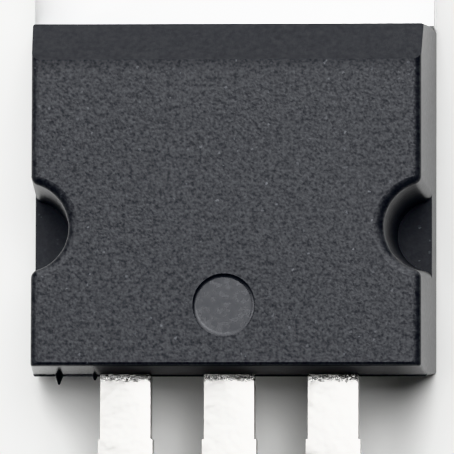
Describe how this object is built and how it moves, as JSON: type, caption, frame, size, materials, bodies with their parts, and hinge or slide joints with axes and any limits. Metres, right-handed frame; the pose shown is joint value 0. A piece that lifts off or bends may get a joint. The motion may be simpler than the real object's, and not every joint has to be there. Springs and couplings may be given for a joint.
{
  "type": "power transistor",
  "caption": "Flat black moulded power transistor with a drilled metal mounting tab at one end and straight flat leads at the other.",
  "frame": {"origin": "centre of the mounting hole, in the plane of the metal back", "axes": "+Z along the mounting hole's axis, from the metal back towards the moulded front; +Y from the body towards the free end of the tab, so the leads run along -Y; +X across the leads, from the base lead to the emitter lead"},
  "size_m": [0.01, 0.0287, 0.0045],
  "materials": {
    "moulding": "matte",
    "plated_copper": "satin",
    "plated_lead": "satin",
    "silicon": "gloss",
    "solder": "satin",
    "bond_wire": "satin"
  },
  "bodies": {
    "root": {"moulded_body": "moulding", "header": "plated_copper", "base_lead": "plated_lead", "emitter_lead": "plated_lead", "die": "silicon", "die_solder": "solder", "base_wire": "bond_wire", "emitter_wire_left": "bond_wire", "emitter_wire_right": "bond_wire"}
  },
  "joints": []
}
